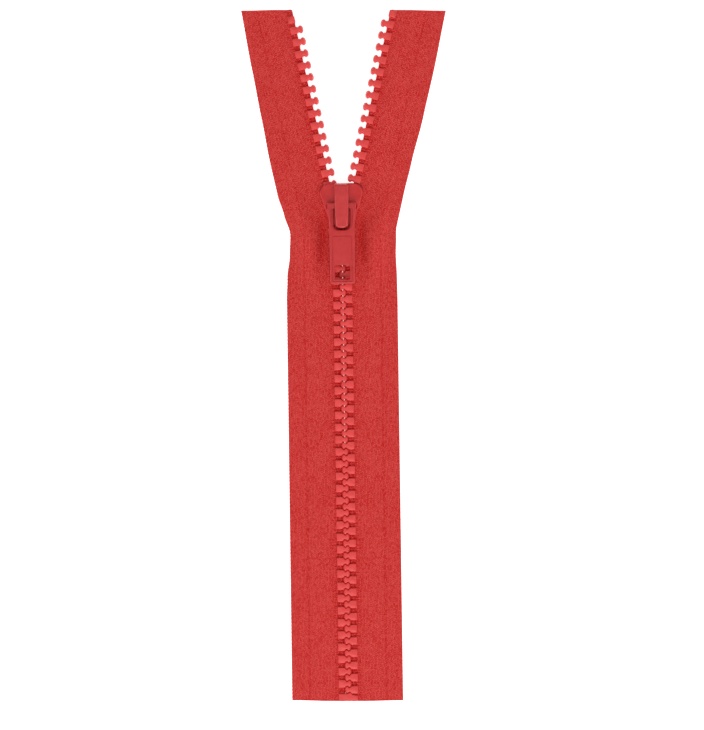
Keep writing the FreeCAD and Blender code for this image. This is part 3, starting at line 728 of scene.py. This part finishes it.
def set_on_row(shell, side, travels):
    """Copies of a shell drawn for the right row at the origin, turned and set at distances along a row."""
    points, faces = shell
    x, y, angle = row_line(side, np.asarray(travels, float))
    turned = -OUTWARD[side] * angle + (math.pi if side == "left" else 0.0)
    cosine, sine = np.cos(turned)[:, None], np.sin(turned)[:, None]
    copies = np.stack([
        x[:, None] + cosine * points[:, 0] - sine * points[:, 1],
        y[:, None] + sine * points[:, 0] + cosine * points[:, 1],
        np.broadcast_to(points[:, 2], (len(x), len(points))),
    ], axis=-1)
    return joined([(copy, faces) for copy in copies])


def row_travel(side, number):
    """Distance along a row of a tooth counted from the bottom, by the closed and then the open pitch."""
    closed = np.minimum(number, CLOSED_TEETH - 1)
    return FIRST_TOOTH[side] + closed * PITCH + (number - closed) * OPEN_PITCH


# A dent in the flank of the head, beside the middle of the chain, where light can be seen through a loose
# chain.
DENT = (-0.03, 0.66, 0.06)
DENT_DEPTH = 0.26
DENT_WIDTH = 0.15
TIGHT_SWELL = 0.31
LOOSE_SWELL = 0.28
TOOTH_ROUND = 0.18


def tooth_shell(loose):
    """A tooth whose neck and head swell below the top until they meet their neighbours, except at the dents
    of a loose tooth."""
    half = TOOTH_HALF[:4] + (DENT,) + TOOTH_HALF[4:] if loose else TOOTH_HALF
    outline = tooth_outline(half)
    swell = (LOOSE_SWELL if loose else TIGHT_SWELL) * smooth_step((1.0 - outline[:, 0]) / 0.5)
    if loose:
        swell = swell - DENT_DEPTH * hump(outline[:, 0], DENT[0], DENT_WIDTH)
    return plate([outline], TOOTH_LOW, TOOTH_HIGH, [TOOTH_ROUND], low_round=0.15, steps=2, swell=swell)


tight_tooth = tooth_shell(False)
loose_tooth = tooth_shell(True)
LOOSE_GROUPS = ("lower_3", "lower_4")
for side in SIDES:
    mouth = CLOSED_TEETH + FORK_TEETH[side]
    half_way = mouth + ARM_TEETH // 2
    groups = {
        f"lower_{index}": (start, min(start + TEETH_IN_GROUP, CLOSED_TEETH), f"{side}_stringer")
        for index, start in enumerate(range(0, CLOSED_TEETH, TEETH_IN_GROUP), start=1)
    }
    groups["fork"] = (CLOSED_TEETH, mouth, f"{side}_arm")
    groups["upper_1"] = (mouth, half_way, f"{side}_arm")
    groups["upper_2"] = (half_way, mouth + ARM_TEETH, f"{side}_arm")
    for group, (start, stop, body) in groups.items():
        tooth = loose_tooth if group in LOOSE_GROUPS else tight_tooth
        row = set_on_row(tooth, side, row_travel(side, np.arange(start, stop)))
        piece(
            f"{side}_moulded_teeth_{group}", row, moulded_teeth, body,
            [f"{side}_teeth_{group}"],
        )
    block = rounded([(2.78, -1.05), (2.78, 1.05), (0.7, 1.05), (0.7, -1.05)], [0.2, 0.2, 0.45, 0.45])
    stop_shell = plate([block], TOOTH_LOW, TOOTH_HIGH, [0.3])
    place = [row_travel(side, mouth + ARM_TEETH) - STOP_SETBACK]
    piece(
        f"{side}_moulded_top_stop", set_on_row(stop_shell, side, place), moulded_teeth, f"{side}_arm",
        [f"{side}_top_stop"],
    )

# The stop's upper edge fills the place below the lowest right tooth, with a bump that reaches into its neck.
bottom = rounded([
    (-2.78, -100.15), (2.78, -100.15), (2.78, -98.75), (1.2, -98.3),
    (0.75, -97.8), (0.3, -97.8), (-0.2, -98.05), (-2.78, -98.05),
], [0.28, 0.28, 0.28, 0.4, 0.2, 0.2, 0.3, 0.28])
stop_swell = 0.18 * smooth_step((1.6 - np.abs(bottom[:, 0])) / 0.5)
piece(
    "moulded_bottom_stop",
    plate([bottom], TOOTH_LOW, TOOTH_HIGH, [TOOTH_ROUND], swell=stop_swell),
    moulded_teeth, "bottom_end", ["bottom_stop"],
)


# ---------------------------------------------------------------- slider


# Outline of the wings: the flared sides, the tail, the shoulders at the mouth and the round of the tail
# corners.
FLARE_PLACE = 40.7
FLARE_HALF = 4.25
FLARE_GROWTH = 0.33
TAIL_HALF = 3.75
TAIL_GROWTH = 0.07
SHOULDER_PLACE = 46.5
SHOULDER_LEAST = 3.5
SHOULDER_SWELL = 2.85
TAIL_CORNER = 0.8

# Channel between the flanges, and the least wall beside it.
CHANNEL_TAIL = 3.35
CHANNEL_MOUTH = 5.4
CHANNEL_FLARE_FROM = 41.0
CHANNEL_FLARE_OVER = 6.0
LEAST_WALL = 0.35


def slider_half_width(y):
    """Half width of the wings: straight sides that flare from the tail, met by a smooth least of the
    shoulders' ellipse at the mouth, and a quarter circle at each tail corner."""
    flare = FLARE_HALF + (y - FLARE_PLACE) * FLARE_GROWTH
    tail = TAIL_HALF + (y - SLIDER_TAIL) * TAIL_GROWTH
    side = -smooth_least(-flare, -tail, 0.5)
    ahead = np.clip((y - SHOULDER_PLACE) / (SLIDER_FRONT - SHOULDER_PLACE), 0.0, 1.0)
    shoulder = SHOULDER_LEAST + SHOULDER_SWELL * np.sqrt(1.0 - ahead ** 2)
    width = smooth_least(side, shoulder, 0.35)
    near = np.clip(TAIL_CORNER - (y - SLIDER_TAIL), 0.0, TAIL_CORNER)
    # Known fault: at the tail end itself near ** 2 comes out just above 0.64, so this gives no number there.
    return width - (TAIL_CORNER - np.sqrt(0.64 - near ** 2))


def channel_half_width(y):
    """Half width of the channel between the flanges: it flares to the mouth and opens there through the
    side."""
    share = np.clip((y - CHANNEL_FLARE_FROM) / CHANNEL_FLARE_OVER, 0.0, 1.0)
    inside = CHANNEL_TAIL + (CHANNEL_MOUTH - CHANNEL_TAIL) * share
    return np.minimum(inside, slider_half_width(y) - LEAST_WALL)


def wing_rim(distance, radius):
    """How far the top has dropped at a distance from its rim: a quarter circle of the radius."""
    inside = np.clip(radius - distance, 0.0, radius)
    return radius - np.sqrt(radius ** 2 - inside ** 2)


# Hole for the pawl's prong, and half the width of the wing's flat middle.
HOLE_SIDES = (0.75, 1.85)
HOLE_ENDS = (38.55, 40.1)
FLAT_HALF = 2.05


def wing_shell(upper):
    """One wing with its two flanges, a C-shaped section carried from the tail to the mouth. The upper wing
    has rims along its sides with a shallow valley between them, domed shoulders and a hole for the pawl's
    prong."""
    y = np.unique(np.concatenate([eased(SLIDER_TAIL, SLIDER_FRONT, 49), HOLE_ENDS]))[:, None]
    half = slider_half_width(y)
    inner = channel_half_width(y)
    radius = 0.5 if upper else 0.3
    flange = SLIDER_TOP - 1.75
    foot = flange + (SLIDER_TOP - WING_THICK - 0.02 - flange) * smooth_step((y - 47.9) / 0.7)
    to_edge = radius * (1.0 - np.cos(np.linspace(0.0, math.pi / 2, 5)))[None, 1:]
    edge_x = half - to_edge
    inner_x = FLAT_HALF + (half - radius - FLAT_HALF) * (1.0 - np.array([0.18, 0.36, 0.6, 1.0]))[None, :]
    flat_x = np.array([HOLE_SIDES[1], HOLE_SIDES[0], 0.0, -HOLE_SIDES[0], -HOLE_SIDES[1]])[None, :] + 0 * y
    top_x = np.concatenate([edge_x, inner_x, flat_x, -inner_x[:, ::-1], -edge_x[:, ::-1]], axis=1)
    out = half - np.abs(top_x)
    ends = np.minimum(y - SLIDER_TAIL, SLIDER_FRONT - y)
    drop = wing_rim(out, radius)
    if upper:
        valley = smooth_step((44.4 - y) / 1.2) * smooth_step((out - 0.45) / 0.3)
        valley = valley * smooth_step(ends / 0.8 - 0.4)
        dome = smooth_step((y - 44.5) / 2.5) * (np.abs(top_x) / 6.2) ** 2
        drop = drop + 0.4 * valley + 0.5 * dome
    drop = np.minimum(drop + wing_rim(ends, radius), 1.6 * radius)
    top_z = SLIDER_TOP - drop
    under_x = flat_x[:, ::-1]
    roof = SLIDER_TOP - WING_THICK + 0 * y
    x = np.concatenate([half, top_x, -half, -inner, -inner, under_x, inner, inner], axis=1)
    z = np.concatenate([foot, top_z, foot, foot, roof, roof + 0 * under_x, roof, foot], axis=1)
    if not upper:
        z = SLIDER_TOP - z
    rings = np.stack([x, y + 0 * x, z], axis=-1)
    points, faces = skin(rings)
    if not upper:
        return points, faces
    count = x.shape[1]
    hole_top = 1 + top_x.shape[1] // 2 - 2
    hole_low = 1 + top_x.shape[1] + 3 + 3
    first_row = int(np.argmin(np.abs(y[:, 0] - HOLE_ENDS[0])))
    last_row = int(np.argmin(np.abs(y[:, 0] - HOLE_ENDS[1])))
    cut = {
        tuple(sorted((row * count + column, row * count + column + 1)))
        for row in range(first_row, last_row) for column in (hole_top, hole_low)
    }
    kept = [face for face in faces if len(face) != 4 or tuple(sorted(face[:2])) not in cut]
    for row in range(first_row, last_row):
        here, following = row * count, (row + 1) * count
        kept.append([here + hole_top, following + hole_top, following + hole_low + 1, here + hole_low + 1])
        kept.append([here + hole_top + 1, here + hole_low, following + hole_low, following + hole_top + 1])
    for row in (first_row, last_row):
        here = row * count
        kept.append([here + hole_top, here + hole_top + 1, here + hole_low, here + hole_low + 1])
    return points, kept


divider = rounded([(0.0, 43.2), (1.25, 49.3), (-1.25, 49.3)], [0.25, 0.5, 0.5], steps=4)
post = plate([divider], WING_THICK - 0.1, SLIDER_TOP - WING_THICK + 0.1, [0.02], low_round=0.02)
piece(
    "enamelled_slider_body", joined([wing_shell(True), wing_shell(False), post]), slider_enamel, "slider",
    ["slider_body"],
)


# Strap: its half width, which narrows towards the tail, the round of its lower end, and the roll of its
# edges.
STRAP_HALF = 1.98
STRAP_TAPER = 0.18
STRAP_END = 36.4
STRAP_END_ROUND = 1.2
STRAP_BEND = 5.4
STRAP_BEND_LENGTH = 2.8
STRAP_THICK = 0.7
STRAP_FOOT_EXTRA = 0.35
STRAP_EDGE = 0.34
STRAP_EDGE_EXTRA = 0.3


def strap_shell():
    """The strap: its outer line climbs from the mouth, runs level over the slider and bends down to the
    tail. At each station the section is a thin bar with rolled long edges, as deep as the strap is
    thick."""
    line = rounded(
        [(49.75, 4.3), (49.75, 6.4), (49.3, 7.85), (46.0, 8.15), (36.75, 8.0), (36.95, 4.3)],
        [0.05, 1.0, 0.7, 8.0, 0.5, 0.05], steps=6,
    )[6:-6]
    gaps = np.linalg.norm(np.diff(line, axis=0), axis=1)
    reach = np.concatenate([[0.0], np.cumsum(gaps)])
    bend = reach[-1] - STRAP_BEND
    bend_end = bend + STRAP_BEND_LENGTH
    stations = np.concatenate([
        np.linspace(0.0, bend, 45)[:-1],
        np.linspace(bend, bend_end, 29)[:-1],
        np.linspace(bend_end, reach[-1], 7),
    ])
    path_y = np.interp(stations, reach, line[:, 0])[:, None]
    path_z = np.interp(stations, reach, line[:, 1])[:, None]
    run_y, run_z = np.gradient(path_y[:, 0])[:, None], np.gradient(path_z[:, 0])[:, None]
    length = np.hypot(run_y, run_z)
    in_y, in_z = -run_z / length, run_y / length
    half = STRAP_HALF - STRAP_TAPER * smooth_step((45.0 - path_y) / 8.0)
    half = half - wing_rim(np.maximum(path_y - STRAP_END, 0.0), STRAP_END_ROUND)
    roll = np.linspace(0.0, math.pi / 2, 5)[None, :]
    edge = STRAP_EDGE + STRAP_EDGE_EXTRA * smooth_step((40.2 - path_y) / 1.6)
    thick = STRAP_THICK + STRAP_FOOT_EXTRA * smooth_step((5.6 - path_z) / 1.0)
    side_x = half - edge * (1.0 - np.cos(roll))
    side_depth = edge * (1.0 - np.sin(roll))
    middle_x = half * np.array([0.6, 0.2, -0.2, -0.6])[None, :]
    x = np.concatenate([half, side_x, middle_x, -side_x[:, ::-1], -half], axis=1)
    crown = (0.08 + 0.25 * smooth_step((39.5 - path_y) / 1.5)) * np.clip(np.abs(x) / half, 0.0, 1.0) ** 3
    depth = np.concatenate([thick, side_depth, 0 * middle_x, side_depth[:, ::-1], thick], axis=1)
    depth = depth + crown * (depth < thick - 0.01)
    return skin(np.stack([x, path_y + in_y * depth, path_z + in_z * depth], axis=-1))


piece("enamelled_strap", strap_shell(), cap_enamel, "slider", ["slider_cap"])


# ---------------------------------------------------------------- pull tab


# How far the core and the sunk panel's island lie below the tab's top, the depth of the raised layer, and
# half the length of the cross bar.
CORE_SINK = 0.18
ISLAND_SINK = 0.06
RIM_DEPTH = 0.35
BAR_HALF = 2.6


def outline_of(half, steps=3):
    """A rounded anticlockwise outline from its right half, each (x, y, radius), listed from the bottom up."""
    corners = np.array(list(half) + [(-x, y, radius) for x, y, radius in half[::-1]])
    return rounded(corners[:, :2], corners[:, 2], steps)


def tab_shell():
    """Three plates and a bar: a core with the window and the eye, a raised rim round the window and the
    panel, the panel's island, and the round cross bar that the strap holds."""
    outer = outline_of([
        (3.56, 20.7, 0.35), (3.72, 40.0, 4.0), (4.15, 41.9, 3.0), (4.15, 44.25, 0.35),
    ])
    window = outline_of([(2.4, 36.25, 1.7), (2.4, 43.0, 0.15)], steps=6)[::-1]
    ledge = outline_of([(2.45, 36.12, 1.7), (3.05, 38.8, 1.5), (3.05, 42.5, 0.3)], steps=6)[::-1]
    panel = outline_of([(2.9, 21.35, 0.3), (2.9, 34.7, 0.5)])[::-1]
    eye = outline_of([(2.22, 21.8, 0.3), (2.22, 26.12, 0.3)])[::-1]
    low = PIVOT_HEIGHT - BAR_RADIUS
    high = PIVOT_HEIGHT + BAR_RADIUS
    core = plate([outer, window, eye], low, high - CORE_SINK, [0.2, 0.25, 0.15], low_round=0.25)
    rim = plate([outer, panel, ledge], high - RIM_DEPTH, high, [0.32, 0.08, 0.08], low_round=0.02)
    island = outline_of([(2.68, 21.58, 0.25), (2.68, 34.48, 0.4)])
    raised = plate([island, eye], high - RIM_DEPTH, high - ISLAND_SINK, [0.1, 0.06], low_round=0.02)
    around = np.linspace(0.0, 2 * math.pi, 25)[None, :-1]
    x = np.linspace(-BAR_HALF, BAR_HALF, 9)[:, None]
    bar = skin(np.stack([
        x + 0 * around,
        PIVOT_PLACE + BAR_RADIUS * np.cos(around) + 0 * x,
        PIVOT_HEIGHT + BAR_RADIUS * np.sin(around) + 0 * x,
    ], axis=-1))
    return joined([core, rim, raised, bar])


piece("enamelled_pull_tab", tab_shell(), tab_enamel, "pull_tab", ["pull_tab"])

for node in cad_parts.values():
    if "pawl" in node.name:
        for slot in node.material_slots:
            slot.material = spring_steel


# ---------------------------------------------------------------- room, light and camera


def floor_finish():
    """Pale matt table with a faint mottle."""
    material, tree, shader = new_finish("pale_table", 0.9, Emission_Strength=0.75)
    tone = noise(tree, object_place(tree), 0.004, 2.0)
    colour = blend_colours(tree, tone, (0.90, 0.90, 0.90, 1.0), (0.94, 0.94, 0.94, 1.0))
    tree.links.new(colour, shader.inputs["Base Color"])
    shader.inputs["Emission Color"].default_value = (1.0, 1.0, 1.0, 1.0)
    return material


def table(reach):
    """A flat square table top just under the zipper."""
    level = -0.02
    corners = np.array([
        (-reach, -reach, level), (reach, -reach, level), (reach, reach, level), (-reach, reach, level),
    ])
    piece("table", (corners, [[0, 1, 2, 3]]), floor_finish())


def soft_light(name, place, size, power):
    """A square soft box at a place in metres, aimed at the zipper."""
    lamp = bpy.data.lights.new(name, "AREA")
    lamp.shape = "SQUARE"
    lamp.size = size
    lamp.energy = power
    item = bpy.data.objects.new(name, lamp)
    item.location = place
    item.rotation_euler = (-Vector(place)).to_track_quat("-Z", "Y").to_euler()
    bpy.context.scene.collection.objects.link(item)


table(3000.0)
soft_light("key", (0.05, -1.2, 1.3), 1.0, 17.0)
soft_light("top", (-0.1, 0.15, 1.5), 1.0, 1.5)
soft_light("left", (-0.9, -0.1, 0.55), 0.6, 1.8)
soft_light("right", (0.9, 0.0, 0.55), 0.6, 1.8)

world = bpy.data.worlds.new("studio")
world.use_nodes = True
world.node_tree.nodes["Background"].inputs["Color"].default_value = (1.0, 1.0, 1.0, 1.0)
world.node_tree.nodes["Background"].inputs["Strength"].default_value = 0.42
bpy.context.scene.world = world
bpy.context.scene.view_settings.view_transform = "Standard"

# The view is 212.2 mm high at the table, from 1 m above it, and turned by 0.8 degrees.
VIEW_HEIGHT = 212.2
CAMERA_HEIGHT = 1000.0
CAMERA_TURN = math.radians(-0.8)
VIEW_MIDDLE = (2.37, -2.79)
lens = bpy.data.cameras.new("camera")
lens.sensor_width = 36.0
lens.lens = lens.sensor_width * CAMERA_HEIGHT / VIEW_HEIGHT
camera = bpy.data.objects.new("camera", lens)
camera.location = (VIEW_MIDDLE[0] * MM, VIEW_MIDDLE[1] * MM, CAMERA_HEIGHT * MM)
camera.rotation_euler = (0.0, 0.0, CAMERA_TURN)
bpy.context.scene.collection.objects.link(camera)
bpy.context.scene.camera = camera
